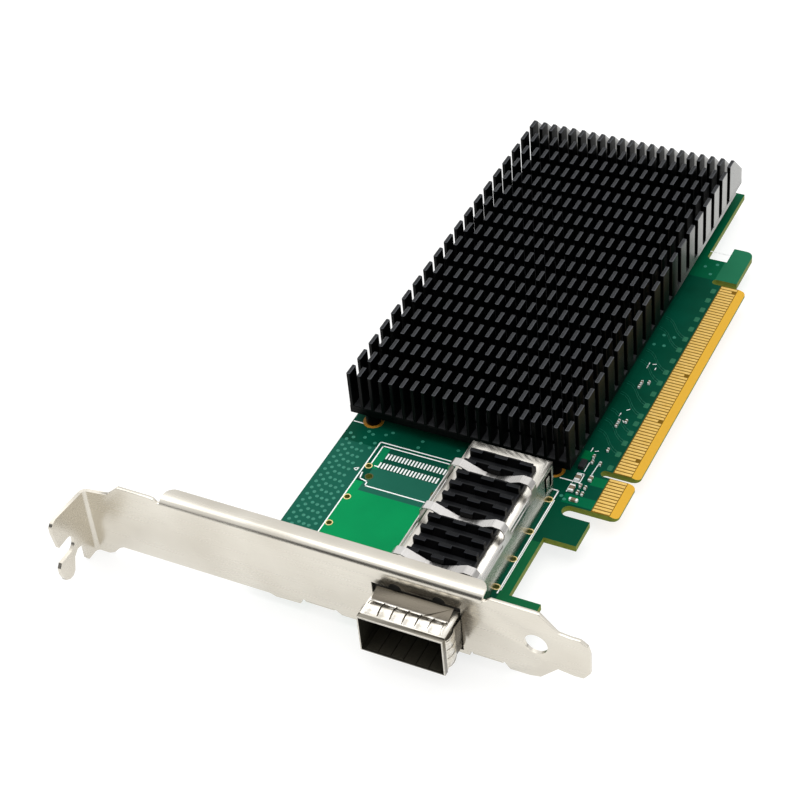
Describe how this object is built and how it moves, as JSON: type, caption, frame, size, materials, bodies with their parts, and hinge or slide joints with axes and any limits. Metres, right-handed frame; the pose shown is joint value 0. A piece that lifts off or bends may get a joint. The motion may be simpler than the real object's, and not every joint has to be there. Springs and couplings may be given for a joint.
{
  "type": "network interface card",
  "caption": "Low-profile adapter card on a full-height bracket: a metal port cage with a sprung heatsink, a cross-cut heatsink over the controller and a gold edge connector.",
  "frame": {"origin": "on the bracket's outer face, at the height of the edge connector's outer edge and of the board's component side", "axes": "+X from the bracket along the card, +Y from the edge connector up to the screw tab, +Z out of the component side"},
  "size_m": [0.1807, 0.12, 0.022],
  "materials": {
    "board_laminate": "glossy solder mask over glass-epoxy laminate",
    "gold_contacts": "hard gold plating, satin",
    "solder_pads": "tinned copper",
    "bracket_steel": "nickel-plated, fine rolled grain",
    "screw_steel": "plated steel",
    "nut_steel": "tin-plated steel",
    "cage_steel": "nickel-plated stamped sheet, bright",
    "finger_steel": "bright spring steel",
    "clip_steel": "bright spring steel",
    "connector_plastic": "black glass-filled moulding",
    "black_anodised": "black anodised, satin",
    "thermal_pad": "soft silicone, matt",
    "package_laminate": "package laminate",
    "lid_metal": "nickel-plated copper lid",
    "package_plastic": "black moulding compound",
    "inductor_body": "pressed iron powder, matt grey",
    "capacitor_ceramic": "fired ceramic, matt"
  },
  "bodies": {
    "card": {"circuit_board": "board_laminate", "edge_contacts_front": "gold_contacts", "edge_contacts_back": "gold_contacts", "second_port_pads": "solder_pads", "bracket": "bracket_steel", "bracket_screws": "screw_steel", "bracket_nuts": "nut_steel", "port_cage": "cage_steel", "cage_floor": "cage_steel", "spring_finger_collar": "finger_steel", "port_connector": "connector_plastic", "connector_contacts": "gold_contacts", "heatsink_clip": "clip_steel", "main_heatsink": "black_anodised", "heatsink_screws": "screw_steel", "screw_washers": "nut_steel", "thermal_pad": "thermal_pad", "controller_substrate": "package_laminate", "controller_lid": "lid_metal", "power_inductors": "inductor_body", "power_stages": "package_plastic", "bulk_capacitors": "package_plastic", "corner_capacitors": "capacitor_ceramic", "corner_diode": "package_plastic", "coupling_capacitors": "capacitor_ceramic", "decoupling_capacitors": "capacitor_ceramic", "flash_memory": "package_plastic", "clock_oscillator": "lid_metal"},
    "riding_heatsink": {"port_heatsink": "black_anodised"}
  },
  "joints": [
    {"name": "heatsink_ride", "type": "slide", "parent": "card", "child": "riding_heatsink", "axis": [0, 0, 1], "range_m": [0, 0.0005], "stiffness_N_per_m": 3000, "springref_m": -0.003, "deforming": ["heatsink_clip"]}
  ]
}
